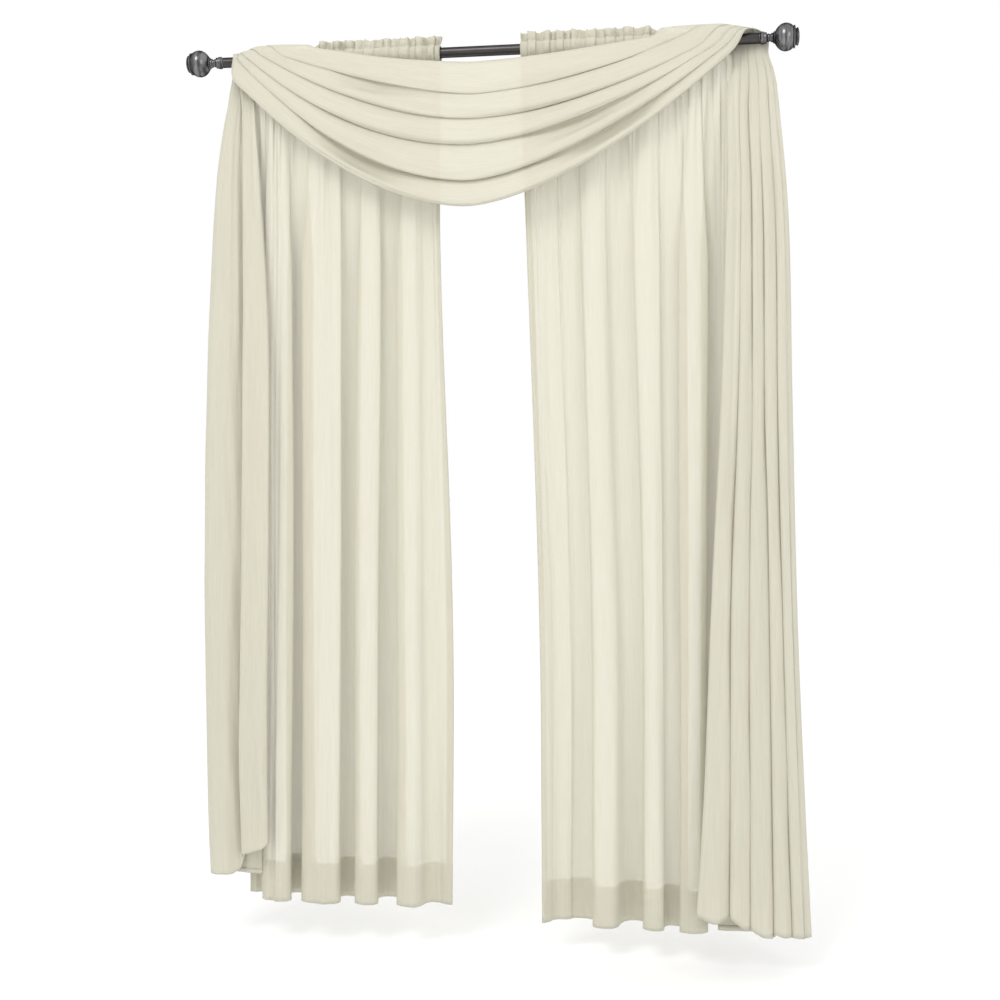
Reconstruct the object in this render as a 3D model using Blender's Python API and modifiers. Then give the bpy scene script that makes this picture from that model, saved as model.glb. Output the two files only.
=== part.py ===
"""Sheer window scarf with two rod-pocket panels on a curtain rod.

Metres, +Z up. The origin is the middle of the rod's axis, +X runs along the rod and +Y points at the wall.
Each cloth is an open grid that takes its folds from short tables, then a Solidify shell.
"""

import math

import bmesh
import bpy
from mathutils import Vector

# Rod and finials
ROD_RADIUS = 0.0127
ROD_HALF_LENGTH = 0.662
ROD_SIDES = 24
SEAT_GAP = 0.0003
FINIAL_STEPS = 20
BALL_RADIUS = 0.0315
BALL_CENTRE = 0.057
CAP_RADIUS = 0.021
FINIAL_LENGTH = 0.0955

# Cloth
CLOTH = 0.0015
POCKET_RADIUS = 0.0143
POCKET_TURNS = (8, 38, 66)
POCKET_STITCH = -0.026
PINCH_HEIGHT = 0.0172
PINCH_HALF = 0.0019
HEADER_TOP = 0.0285
HEADER_TURN = 0.0030
POCKET_SIDE = -0.009
FRONT_STITCH_Y, BACK_STITCH_Y = -0.0045, -0.0022
PANEL_COLUMNS = 42
RUFFLES = 14
RUFFLE_DEPTH = 0.0085
RUFFLE_ON_BODY = 0.55
RUFFLES_FADE_FROM, RUFFLES_FADE_BY = 0.03, 0.42
FOLDS_OPEN_BY = 0.30
PANEL_ROW_SHARES = (1.0, 0.74, 0.452, 0.238, 0.124, 0.062, 0.0286)
SCARF_COLUMNS = 30
NODES = 11
FOLD_FLANK = 1.35
PLEAT_FLANK = 0.7

# Panel folds from the inner edge to the outer one: place along the rod at the heading and at the hem,
# how far the fold stands behind (+) or before (-) the rod at the hem, and the drop over which it gets to its place.
LEFT_FOLDS = (
    # heading, hem, set, drop
    (0.108, 0.072, -0.012, 1.6),
    (0.150, 0.135, 0.022, 1.6),
    (0.196, 0.182, -0.043, 1.6),
    (0.243, 0.235, 0.036, 1.6),
    (0.296, 0.284, -0.040, 1.6),
    (0.350, 0.345, 0.040, 1.6),
    (0.408, 0.405, -0.046, 1.6),
    (0.458, 0.452, 0.038, 1.6),
    (0.508, 0.494, -0.038, 1.6),
    (0.546, 0.545, 0.046, 0.6),
    (0.582, 0.600, 0.036, 0.08),
)
RIGHT_FOLDS = (
    (0.096, 0.147, -0.018, 1.6),
    (0.155, 0.190, 0.012, 1.6),
    (0.205, 0.238, 0.030, 1.6),
    (0.262, 0.296, -0.042, 1.6),
    (0.330, 0.366, 0.036, 1.6),
    (0.395, 0.418, -0.046, 1.6),
    (0.452, 0.462, 0.020, 1.6),
    (0.508, 0.496, -0.044, 1.6),
    (0.546, 0.545, 0.046, 0.6),
    (0.582, 0.604, 0.036, 0.08),
)
DROP_START = 0.07
BELOW_ROD_Y = -0.003
LEFT_HEM = -2.090
RIGHT_HEM = -2.118

# Scarf: the edges and creases of the swag, from its upper edge to its lower one.
SWAG_LOW_X = -0.02
SWAG_LINES = (
    # left x, left z, right x, right z, lowest z, bend left, bend right, front end y, front low y
    (-0.450, 0.012, 0.430, 0.012, -0.036, 1.6, 1.6, -0.036, -0.040),
    (-0.515, 0.002, 0.482, 0.004, -0.114, 2.0, 2.0, -0.036, -0.046),
    (-0.550, -0.004, 0.525, -0.004, -0.178, 2.0, 2.1, -0.034, -0.052),
    (-0.592, -0.010, 0.562, -0.012, -0.242, 2.0, 1.65, -0.030, -0.058),
    (-0.612, -0.020, 0.588, -0.022, -0.330, 2.0, 1.5, -0.026, -0.064),
    (-0.630, -0.034, 0.606, -0.034, -0.396, 2.1, 1.55, -0.021, -0.066),
)
SWAG_ROLLS = (0.020, 0.026, 0.030, 0.034, 0.026)
SWAG_STATIONS = (1.0, 0.9, 0.72, 0.5, 0.26)
ROLL_DROOP = 0.14

# How the scarf crosses the rod: it turns about the axis, tight on the bare rod and wider over the headings.
BARE_FROM, BARE_BY = 0.585, 0.616
BARE_TURN = 0.0152
OVER_HEADING_Y, OVER_HEADING_Z = 0.0330, 0.0345
PLEAT_ON_ROD = 0.003
LEFT_CROSSING = (
    # degrees round from the top towards the wall, place of the upper edge and of the lower edge along the rod
    (-62, 0.458, 0.632),
    (-22, 0.470, 0.634),
    (18, 0.488, 0.637),
    (58, 0.515, 0.641),
    (98, 0.550, 0.645),
)
LEFT_NECK = (0.601, 0.652)
RIGHT_CROSSING = (
    (-62, 0.440, 0.622),
    (-22, 0.456, 0.638),
    (18, 0.480, 0.650),
    (58, 0.512, 0.655),
    (98, 0.550, 0.658),
)
RIGHT_NECK = (0.600, 0.674)
NECK_HEIGHT = -0.044
NECK_Y = (0.034, 0.018)

# Tails: height, inner and outer edge along the rod, how far each stands before the rod, fold depth.
LEFT_TAIL = (
    # z, inner x, outer x, inner y, outer y, depth
    (-0.078, 0.602, 0.660, -0.004, 0.006, 0.010),
    (-0.120, 0.572, 0.667, -0.038, -0.008, 0.018),
    (-0.340, 0.551, 0.685, -0.052, -0.016, 0.032),
    (-0.640, 0.530, 0.699, -0.056, -0.020, 0.040),
    (-1.250, 0.524, 0.709, -0.060, -0.024, 0.048),
    (-1.700, 0.526, 0.711, -0.062, -0.026, 0.050),
)
LEFT_TAIL_HEM = (0.521, 0.692, -0.064, -0.028, 0.052)
LEFT_TAIL_HEM_HEIGHTS = (-1.945, -2.035)
RIGHT_TAIL = (
    (-0.084, 0.600, 0.698, -0.004, 0.006, 0.010),
    (-0.140, 0.587, 0.708, -0.038, -0.008, 0.020),
    (-0.340, 0.572, 0.725, -0.054, -0.018, 0.036),
    (-0.860, 0.560, 0.740, -0.060, -0.024, 0.052),
    (-1.330, 0.546, 0.750, -0.064, -0.028, 0.060),
    (-1.770, 0.530, 0.767, -0.068, -0.030, 0.066),
)
RIGHT_TAIL_HEM = (0.514, 0.783, -0.070, -0.032, 0.072)
RIGHT_TAIL_HEM_HEIGHTS = (-2.068, -2.112)

# Places of the tail's edges, crests and valleys across its width, and how strongly each stands out.
LEFT_ACROSS = (0.0, 0.10, 0.21, 0.33, 0.46, 0.56, 0.66, 0.74, 0.82, 0.92, 1.0)
LEFT_STRENGTH = (-0.6, -0.9, -0.2, -0.8, 1.0, -0.7, 0.1, -0.8, 0.2, -0.8, 0.3)
RIGHT_ACROSS = (0.0, 0.13, 0.26, 0.35, 0.44, 0.53, 0.62, 0.71, 0.80, 0.91, 1.0)
RIGHT_STRENGTH = (0.8, -1.0, 1.0, -0.8, 0.8, -0.9, 0.9, -0.8, 0.7, -0.9, 0.2)

IVORY = (0.80, 0.77, 0.66, 1.0)
PEWTER = (0.055, 0.052, 0.052, 1.0)
FINIAL_GREY = (0.16, 0.16, 0.165, 1.0)


def clear_scene():
    for item in list(bpy.data.objects):
        bpy.data.objects.remove(item, do_unlink=True)


def principled(name, colour, roughness, metallic):
    material = bpy.data.materials.new(name)
    material.use_nodes = True
    shader = material.node_tree.nodes["Principled BSDF"]
    shader.inputs["Base Color"].default_value = colour
    shader.inputs["Roughness"].default_value = roughness
    shader.inputs["Metallic"].default_value = metallic
    material.diffuse_color = colour
    return material


def smooth_step(t):
    t = min(max(t, 0.0), 1.0)
    return t * t * (3.0 - 2.0 * t)


def mix(a, b, t):
    return a + (b - a) * t


def half_wave(t, flank, steps=40):
    """Way along and way out, each 0 to 1, of a cloth that turns up to the flank angle between two folds."""
    along = out = 0.0
    whole_along = whole_out = 0.0
    for i in range(steps):
        angle = flank * math.sin(math.pi * (i + 0.5) / steps)
        share = min(max(t * steps - i, 0.0), 1.0)
        whole_along += math.cos(angle)
        whole_out += math.sin(angle)
        along += share * math.cos(angle)
        out += share * math.sin(angle)
    return along / whole_along, out / whole_out


def across_section(nodes, out, flank, s):
    """The point at share s of a section that swings from node to node, out being its outward direction."""
    place = min(max(s, 0.0), 1.0) * (len(nodes) - 1)
    i = min(int(place), len(nodes) - 2)
    along, swing = half_wave(place - i, flank)
    step = nodes[i + 1] - nodes[i]
    lift = step.dot(out) * out
    return nodes[i] + (step - lift) * along + lift * swing


def spline(points, place):
    """A Catmull-Rom curve through points, at a place counted in points from the first."""
    i = min(max(int(place), 0), len(points) - 2)
    t = place - i
    p1, p2 = points[i], points[i + 1]
    p0 = points[i - 1] if i else p1 * 2 - p2
    p3 = points[i + 2] if i + 2 < len(points) else p2 * 2 - p1
    return 0.5 * (
        p1 * 2
        + (p2 - p0) * t
        + (p0 * 2 - p1 * 5 + p2 * 4 - p3) * t * t
        + (p1 * 3 - p0 - p2 * 3 + p3) * t * t * t
    )


def swag_section(u):
    """Nodes of the swag at u, from -1 at the left end to 1 at the right one: edges and creases with a roll between."""
    creases = []
    for left_x, left_z, right_x, right_z, low_z, bend_left, bend_right, end_y, low_y in SWAG_LINES:
        end_x, end_z, bend = (left_x, left_z, bend_left) if u < 0 else (right_x, right_z, bend_right)
        hang = 1.0 - abs(u) ** bend
        creases.append(
            Vector(
                (
                    mix(SWAG_LOW_X, end_x, abs(u)),
                    mix(end_y, low_y, hang),
                    mix(end_z, low_z, hang),
                )
            )
        )
    slack = 0.22 + 0.78 * smooth_step((1.0 - abs(u)) / 0.55)
    nodes = [creases[0]]
    for upper, lower, roll in zip(creases, creases[1:], SWAG_ROLLS):
        crest = mix(upper, lower, 0.5 + ROLL_DROOP * slack)
        crest.y -= roll * slack
        nodes += [crest, lower]
    nodes[-1].y -= 0.3 * SWAG_ROLLS[-1] * slack
    return nodes, Vector((0.0, -1.0, 0.0)), FOLD_FLANK


def crossing_section(row, side):
    """Nodes where the scarf turns over the rod, its pleats rising away from the axis."""
    degrees, upper_x, lower_x = row
    turn = math.radians(degrees)
    out = Vector((0.0, math.sin(turn), math.cos(turn)))
    nodes = []
    for i in range(NODES):
        x = mix(upper_x, lower_x, i / (NODES - 1))
        bare = smooth_step((x - BARE_FROM) / (BARE_BY - BARE_FROM))
        y = mix(OVER_HEADING_Y, BARE_TURN, bare) * out.y
        z = mix(OVER_HEADING_Z, BARE_TURN, bare) * out.z
        nodes.append(Vector((side * x, y, z)) + out * (PLEAT_ON_ROD if i % 2 else 0.0))
    return nodes, out, PLEAT_FLANK


def neck_section(neck, side):
    """Nodes just under the rod, behind it, where the scarf is narrowest."""
    nodes = []
    for i in range(NODES):
        s = i / (NODES - 1)
        nodes.append(Vector((side * mix(*neck, s), mix(*NECK_Y, s), NECK_HEIGHT)))
    return nodes, Vector((0.0, 1.0, 0.0)), PLEAT_FLANK


def tail_section(row, side, across, strength, heights):
    """Nodes of a tail across its width, from the inner selvage to the outer one."""
    inner_x, outer_x, inner_y, outer_y, depth = row
    nodes = []
    for place, push in zip(across, strength):
        y = mix(inner_y, outer_y, place) + 0.5 * depth * push
        nodes.append(Vector((side * mix(inner_x, outer_x, place), y, mix(*heights, place))))
    return nodes, Vector((0.0, -1.0, 0.0)), FOLD_FLANK


def tail_sections(table, hem, hem_heights, side, across, strength):
    sections = [
        tail_section(row, side, across, strength, (z, z)) for z, *row in table
    ]
    sections.append(tail_section(hem, side, across, strength, hem_heights))
    return sections


def scarf_sections():
    """Every main section of the scarf, from the left hem over the rod, the swag and the rod again to the right hem."""
    left = tail_sections(
        LEFT_TAIL, LEFT_TAIL_HEM, LEFT_TAIL_HEM_HEIGHTS, -1, LEFT_ACROSS, LEFT_STRENGTH
    )
    right = tail_sections(
        RIGHT_TAIL, RIGHT_TAIL_HEM, RIGHT_TAIL_HEM_HEIGHTS, 1, RIGHT_ACROSS, RIGHT_STRENGTH
    )
    over_left = [crossing_section(row, -1) for row in LEFT_CROSSING] + [neck_section(LEFT_NECK, -1)]
    over_right = [crossing_section(row, 1) for row in RIGHT_CROSSING] + [neck_section(RIGHT_NECK, 1)]
    swag = [swag_section(-u) for u in SWAG_STATIONS]
    swag += [swag_section(0.0)]
    swag += [swag_section(u) for u in reversed(SWAG_STATIONS)]
    return left[::-1] + over_left[::-1] + swag + over_right + right


def scarf_point(sections, place, s):
    """The scarf's point at a place counted in sections and a share s of its width."""
    i = min(max(int(place), 0), len(sections) - 2)
    near = range(max(i - 1, 0), min(i + 3, len(sections)))
    columns = [across_section(*sections[k], s) for k in near]
    return spline(columns, place - near[0])


def waves(s, count):
    """Uneven gathers, -1 to 1, across a panel."""
    slow = 0.75 + 0.25 * math.sin(5.1 * s * math.pi + 0.6)
    return slow * math.sin(2 * math.pi * count * s + 0.7 * math.sin(7.3 * s + 0.4))


def panel_profile(hem):
    """Heights and settings along a panel: the body from the hem up, then the pocket and heading over the rod."""
    body = [("body", hem * share, 0.0) for share in PANEL_ROW_SHARES]
    turns = [math.radians(degrees) for degrees in POCKET_TURNS]
    over = [(POCKET_RADIUS * math.sin(turn), POCKET_RADIUS * math.cos(turn)) for turn in turns]
    front = [("loop", POCKET_STITCH, FRONT_STITCH_Y), ("loop", POCKET_SIDE, -POCKET_RADIUS)]
    front += [("loop", z, -y) for z, y in over]
    back = [("loop", z, y) for z, y in reversed(over)]
    back += [("loop", POCKET_SIDE, POCKET_RADIUS), ("loop", POCKET_STITCH, BACK_STITCH_Y)]
    heading = [
        ("heading", PINCH_HEIGHT, -PINCH_HALF),
        ("heading", HEADER_TOP - HEADER_TURN, -HEADER_TURN),
        ("heading", HEADER_TOP, 0.0),
        ("heading", HEADER_TOP - HEADER_TURN, HEADER_TURN),
        ("heading", PINCH_HEIGHT, PINCH_HALF),
    ]
    return body + front + heading + back


def fold_depth(drop):
    """How deep the folds are at a drop below the rod, as a share of their depth at the hem."""
    return 0.12 * smooth_step(drop / 0.12) + 0.40 * smooth_step(drop / 0.6) + 0.48 * drop / 2.1


def panel_point(folds, side, kind, z, y, s):
    """A panel's point at share s of its width, 0 at the inner edge, for one row of its profile."""
    ruffle = waves(s, RUFFLES)
    heading_x = mix(folds[0][0], folds[-1][0], s)
    if kind == "heading":
        rise = smooth_step((z - PINCH_HEIGHT) / (HEADER_TOP - PINCH_HEIGHT) + 0.5)
        return Vector((side * heading_x, y + RUFFLE_DEPTH * ruffle * rise, z + 0.0015 * ruffle))
    if kind == "loop":
        bulge = 0.5 * RUFFLE_DEPTH * (1.0 + ruffle) * min(1.0, abs(y) / POCKET_RADIUS)
        return Vector((side * heading_x, y + math.copysign(bulge, y), z))
    drop = -z
    opened = smooth_step(drop / FOLDS_OPEN_BY)
    depth = fold_depth(drop)
    nodes = []
    for at_heading, at_hem, set_y, reach in folds:
        x = mix(at_heading, at_hem, smooth_step((drop - DROP_START) / reach))
        nodes.append(Vector((x, set_y * depth, 0.0)))
    body = across_section(nodes, Vector((0.0, -1.0, 0.0)), FOLD_FLANK, s)
    fading = smooth_step((drop - RUFFLES_FADE_FROM) / (RUFFLES_FADE_BY - RUFFLES_FADE_FROM))
    y = body.y + RUFFLE_ON_BODY * RUFFLE_DEPTH * ruffle * (1.0 - fading)
    return Vector((side * mix(heading_x, body.x, opened), y + BELOW_ROD_Y * (1.0 - opened), z))


def cloth_sheet(name, columns, rows, place, material, collection):
    """A grid of columns by rows laid over place(share across, row), then thickened."""
    mesh = bpy.data.meshes.new(name)
    sheet = bmesh.new()
    bmesh.ops.create_grid(sheet, x_segments=columns, y_segments=rows, size=0.5)
    for vertex in sheet.verts:
        vertex.co = place(vertex.co.x + 0.5, round((vertex.co.y + 0.5) * rows))
    sheet.to_mesh(mesh)
    sheet.free()
    mesh.shade_smooth()
    mesh.materials.append(material)
    cloth = bpy.data.objects.new(name, mesh)
    collection.objects.link(cloth)
    shell = cloth.modifiers.new("Cloth thickness", "SOLIDIFY")
    shell.thickness = CLOTH
    shell.offset = 0.0
    return cloth


def build_panel(name, folds, side, hem, material, collection):
    profile = panel_profile(hem)

    def place(s, row):
        return panel_point(folds, side, *profile[row], s)

    return cloth_sheet(name, PANEL_COLUMNS, len(profile) - 1, place, material, collection)


def scarf_stations(sections):
    """Places along the scarf, counted in sections, where the grid has a row."""
    first_swag = len(LEFT_TAIL) + 1 + len(LEFT_CROSSING) + 1
    last_swag = first_swag + 2 * len(SWAG_STATIONS)
    places = []
    for i in range(len(sections) - 1):
        splits = 2 if first_swag <= i < last_swag else 1
        places += [i + k / splits for k in range(splits)]
    return places + [len(sections) - 1]


def build_scarf(material, collection):
    sections = scarf_sections()
    stations = scarf_stations(sections)

    def place(s, row):
        return scarf_point(sections, stations[row], s)

    return cloth_sheet("scarf", SCARF_COLUMNS, len(stations) - 1, place, material, collection)


def build_rod(material, collection):
    bpy.ops.mesh.primitive_cylinder_add(
        vertices=ROD_SIDES, radius=ROD_RADIUS, depth=2 * ROD_HALF_LENGTH, rotation=(0, math.pi / 2, 0)
    )
    rod = bpy.context.object
    rod.name = rod.data.name = "rod"
    rod.data.materials.append(material)
    rod.data.shade_smooth()
    rod.data.set_sharp_from_angle(angle=math.radians(40))
    for owner in list(rod.users_collection):
        owner.objects.unlink(rod)
    collection.objects.link(rod)
    return rod


def finial_profile():
    """Radius and distance from the rod's end: collar, ringed neck, ball and end cap."""
    neck_end, cap_start = 0.031, 0.081
    profile = [
        (0.0, 0.0),
        (0.0150, 0.0),
        (0.0170, 0.002),
        (0.0170, 0.014),
        (0.0125, 0.016),
        (0.0125, 0.020),
        (0.0150, 0.022),
        (0.0100, 0.025),
        (0.0100, neck_end - 0.002),
    ]
    for i in range(7):
        along = mix(neck_end, cap_start, i / 6)
        offset = (along - BALL_CENTRE) / BALL_RADIUS
        profile.append((BALL_RADIUS * math.sqrt(max(1.0 - offset * offset, 0.0)), along))
    profile += [
        (CAP_RADIUS * 0.80, cap_start + 0.002),
        (CAP_RADIUS, cap_start + 0.004),
        (CAP_RADIUS, cap_start + 0.010),
        (CAP_RADIUS * 0.6, FINIAL_LENGTH - 0.002),
        (0.0, FINIAL_LENGTH),
    ]
    return profile


def build_finial(name, side, material, collection):
    mesh = bpy.data.meshes.new(name)
    turned = bmesh.new()
    points = [turned.verts.new((radius, 0.0, along)) for radius, along in reversed(finial_profile())]
    for first, second in zip(points, points[1:]):
        turned.edges.new((first, second))
    turned.to_mesh(mesh)
    turned.free()
    mesh.materials.append(material)
    finial = bpy.data.objects.new(name, mesh)
    collection.objects.link(finial)
    turn = finial.modifiers.new("Turning", "SCREW")
    turn.steps = turn.render_steps = FINIAL_STEPS
    turn.use_merge_vertices = True
    turn.merge_threshold = 0.00005
    turn.use_smooth_shade = True
    finial.location.x = side * (ROD_HALF_LENGTH + SEAT_GAP)
    finial.rotation_euler.y = side * math.pi / 2
    return finial


def main():
    clear_scene()
    collection = bpy.data.collections.new("sheer_window_scarf")
    bpy.context.scene.collection.children.link(collection)
    scarf_cloth = principled("scarf_voile", IVORY, 0.85, 0.0)
    panel_cloth = principled("panel_voile", IVORY, 0.88, 0.0)
    rod_metal = principled("rod_pewter", PEWTER, 0.35, 0.9)
    finial_metal = principled("finial_pewter", FINIAL_GREY, 0.3, 0.95)
    build_rod(rod_metal, collection)
    build_finial("finial_left", -1, finial_metal, collection)
    build_finial("finial_right", 1, finial_metal, collection)
    build_panel("panel_left", LEFT_FOLDS, -1, LEFT_HEM, panel_cloth, collection)
    build_panel("panel_right", RIGHT_FOLDS, 1, RIGHT_HEM, panel_cloth, collection)
    build_scarf(scarf_cloth, collection)


main()
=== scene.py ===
# %% [markdown]
# # A sheer window scarf over two rod-pocket panels
#
# Everything here hangs from one rod: two gathered panels slide on it through a sewn pocket, and one
# long scarf is thrown over both ends of it. We model the cloth as thin sheets that follow short tables
# of folds, because a table of crests and valleys is how a curtain maker would describe the drape. The
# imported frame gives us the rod, the finials and the place of each cloth in metres.

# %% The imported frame
import math

import bmesh
import bpy
import numpy as np
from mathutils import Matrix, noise


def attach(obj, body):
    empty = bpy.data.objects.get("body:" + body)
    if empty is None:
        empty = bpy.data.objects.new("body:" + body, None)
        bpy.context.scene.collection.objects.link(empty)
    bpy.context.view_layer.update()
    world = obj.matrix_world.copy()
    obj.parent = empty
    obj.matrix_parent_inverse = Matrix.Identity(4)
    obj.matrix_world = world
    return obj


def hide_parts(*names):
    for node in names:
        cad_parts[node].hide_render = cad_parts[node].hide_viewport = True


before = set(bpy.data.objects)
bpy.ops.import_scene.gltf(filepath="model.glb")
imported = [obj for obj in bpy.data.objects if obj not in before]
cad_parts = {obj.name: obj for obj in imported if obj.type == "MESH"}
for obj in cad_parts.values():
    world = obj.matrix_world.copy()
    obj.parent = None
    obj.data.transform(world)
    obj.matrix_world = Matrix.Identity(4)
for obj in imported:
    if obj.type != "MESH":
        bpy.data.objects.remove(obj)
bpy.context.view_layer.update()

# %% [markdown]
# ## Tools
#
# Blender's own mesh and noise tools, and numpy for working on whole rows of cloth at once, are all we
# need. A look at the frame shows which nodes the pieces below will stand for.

print("frame nodes:", ", ".join(sorted(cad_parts)))

# %% [markdown]
# ## The camera
#
# The curtains are seen from a little to the right of their middle, from half their height, and the
# camera is level: upright edges stay upright in the picture. So it only turns about the vertical, and a
# small shift of the lens moves them up in the frame instead of a tilt.

# %% A level camera
CAMERA_PLACE = (0.560, -3.350, -1.010)
CAMERA_TURN = math.radians(8.8)
LENS = 50.0
SENSOR_WIDTH = 36.0
LENS_SHIFT = -0.036

camera_data = bpy.data.cameras.new("Studio camera")
camera_data.lens = LENS
camera_data.sensor_width = SENSOR_WIDTH
camera_data.shift_y = LENS_SHIFT
camera = bpy.data.objects.new("Studio camera", camera_data)
camera.location = CAMERA_PLACE
camera.rotation_euler = (math.pi / 2, 0.0, CAMERA_TURN)
bpy.context.scene.collection.objects.link(camera)
bpy.context.scene.camera = camera
print("camera at", CAMERA_PLACE, "turned", round(math.degrees(CAMERA_TURN), 1), "degrees")

# %% [markdown]
# ## Helpers for smooth shapes
#
# Cloth changes slowly, so nearly every measure below is blended: between a heading and a hem, between
# one section and the next. The uneven() helper adds the slow wander that keeps folds from looking
# machined.


# %% Blending and slow noise
def smooth(t):
    t = np.clip(t, 0.0, 1.0)
    return t * t * (3.0 - 2.0 * t)


def mix(a, b, t):
    return a + (b - a) * t


NOISE_REACH = 1.6


def uneven(across, along, seed):
    """Smooth noise, about -1 to 1, for every point of a grid of places."""
    across, along = np.broadcast_arrays(across, along)
    values = [noise.noise((a, b, seed)) for a, b in zip(across.ravel(), along.ravel())]
    return NOISE_REACH * np.array(values).reshape(across.shape)


print("a smooth step at 0, 1/4, 1/2 and 1:", [round(float(smooth(t)), 3) for t in (0.0, 0.25, 0.5, 1.0)])


# %% [markdown]
# ## Floor
#
# Sheer cloth takes its look from what is behind it, so everything round it is pale: a wide plain floor
# just under the hems, and a white room far away. The floor glows a very little, so that it runs into
# the room without a line.

# %% Studio floor
FLOOR_HEIGHT = -2.20
FLOOR_SIZE = 80.0
PAPER_WHITE = 0.93
PAPER_GLOW = 0.07

paper = bpy.data.materials.new("Studio paper")
paper.use_nodes = True
paper_shader = paper.node_tree.nodes["Principled BSDF"]
paper_shader.inputs["Base Color"].default_value = (PAPER_WHITE, PAPER_WHITE, PAPER_WHITE, 1.0)
paper_shader.inputs["Roughness"].default_value = 0.95
paper_shader.inputs["Specular IOR Level"].default_value = 0.0
paper_shader.inputs["Emission Color"].default_value = (1.0, 1.0, 1.0, 1.0)
paper_shader.inputs["Emission Strength"].default_value = PAPER_GLOW

floor_mesh = bpy.data.meshes.new("Studio floor")
floor = bmesh.new()
bmesh.ops.create_grid(floor, x_segments=1, y_segments=1, size=FLOOR_SIZE / 2)
floor.to_mesh(floor_mesh)
floor.free()
floor_mesh.materials.append(paper)
stage = bpy.data.objects.new("Studio floor", floor_mesh)
stage.location.z = FLOOR_HEIGHT
bpy.context.scene.collection.objects.link(stage)
print("floor:", FLOOR_SIZE, "m wide, at", FLOOR_HEIGHT, "m")

# %% [markdown]
# ## Light
#
# The white room gives most of the light, evenly from every side, so the shadows stay as open as they
# are in cloth that light passes through. A broad lamp from the front and upper left draws the folds,
# and a weaker one from the right keeps their far sides from going grey.


# %% Two soft lamps
def area_light(name, place, target, width, height, power, colour):
    data = bpy.data.lights.new(name, "AREA")
    data.shape = "RECTANGLE"
    data.size = width
    data.size_y = height
    data.energy = power
    data.color = colour
    light = bpy.data.objects.new(name, data)
    light.location = place
    way = np.array(target) - np.array(place)
    flat = math.hypot(way[0], way[1])
    light.rotation_euler = (math.atan2(flat, -way[2]), 0.0, math.atan2(-way[0], way[1]))
    bpy.context.scene.collection.objects.link(light)
    print(name, "lamp:", width, "by", height, "m,", power, "W")


area_light("Key", (-1.4, -4.1, 2.9), (0, 0, -0.9), 2.2, 2.2, 88.0, (1.0, 0.992, 0.975))
area_light("Fill", (3.2, -3.4, 0.4), (0, 0, -1.0), 1.2, 2.4, 24.0, (1.0, 0.99, 0.98))

# %% The white room
CLOTH_LAYERS_SEEN_THROUGH = 40

world = bpy.data.worlds.new("White room")
world.use_nodes = True
world.node_tree.nodes["Background"].inputs["Color"].default_value = (1.0, 1.0, 1.0, 1.0)
world.node_tree.nodes["Background"].inputs["Strength"].default_value = 1.0
bpy.context.scene.world = world
bpy.context.scene.view_settings.view_transform = "Standard"
bpy.context.scene.cycles.transparent_max_bounces = CLOTH_LAYERS_SEEN_THROUGH
print("room: white, strength", world.node_tree.nodes["Background"].inputs["Strength"].default_value)

# %% [markdown]
# ## Voile
#
# Voile is a fine plain weave of tightly twisted yarn. From a step away it shows no threads, only a
# faint crinkle along its length and a slight change of tone from yarn to yarn. One layer of a panel
# lets about a seventh of the light straight through and one of the scarf half of that. The thin sheet
# has two faces, so each gets a plain alpha value, and layers build up by themselves where the cloth is
# folded or hemmed. The pattern lies in the cloth's own coordinates, in metres of cut cloth, so it
# follows each fold.


# %% A voile
def voile(name, light, dark, alpha, crinkle):
    material = bpy.data.materials.new(name)
    material.use_nodes = True
    nodes, links = material.node_tree.nodes, material.node_tree.links
    shader = nodes["Principled BSDF"]
    shader.inputs["Roughness"].default_value = 0.86
    shader.inputs["Specular IOR Level"].default_value = 0.22
    shader.inputs["Alpha"].default_value = alpha
    shader.inputs["Sheen Weight"].default_value = 0.12
    shader.inputs["Sheen Roughness"].default_value = 0.5
    place = nodes.new("ShaderNodeUVMap")
    place.uv_map = "Cloth"
    slub = nodes.new("ShaderNodeMapping")
    slub.inputs["Scale"].default_value = (420.0, 9.0, 1.0)
    links.new(place.outputs["UV"], slub.inputs["Vector"])
    tone = nodes.new("ShaderNodeTexNoise")
    tone.inputs["Scale"].default_value = 1.0
    tone.inputs["Detail"].default_value = 3.0
    links.new(slub.outputs["Vector"], tone.inputs["Vector"])
    ramp = nodes.new("ShaderNodeValToRGB")
    ramp.color_ramp.elements[0].position = 0.30
    ramp.color_ramp.elements[0].color = (*dark, 1.0)
    ramp.color_ramp.elements[1].position = 0.70
    ramp.color_ramp.elements[1].color = (*light, 1.0)
    links.new(tone.outputs["Fac"], ramp.inputs["Fac"])
    links.new(ramp.outputs["Color"], shader.inputs["Base Color"])
    pucker = nodes.new("ShaderNodeMapping")
    pucker.inputs["Scale"].default_value = (130.0, 16.0, 1.0)
    links.new(place.outputs["UV"], pucker.inputs["Vector"])
    height = nodes.new("ShaderNodeTexNoise")
    height.inputs["Scale"].default_value = 1.0
    height.inputs["Detail"].default_value = 4.0
    links.new(pucker.outputs["Vector"], height.inputs["Vector"])
    bump = nodes.new("ShaderNodeBump")
    bump.inputs["Strength"].default_value = 1.0
    bump.inputs["Distance"].default_value = crinkle
    links.new(height.outputs["Fac"], bump.inputs["Height"])
    links.new(bump.outputs["Normal"], shader.inputs["Normal"])
    print(name, "lets through", round((1.0 - alpha) ** 2, 3), "of the light")
    return material


panel_voile = voile("Ivory panel voile", (0.738, 0.716, 0.598), (0.700, 0.674, 0.552), 0.62, 0.0016)
scarf_voile = voile("Ivory scarf voile", (0.716, 0.692, 0.582), (0.674, 0.646, 0.532), 0.74, 0.0018)

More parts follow.
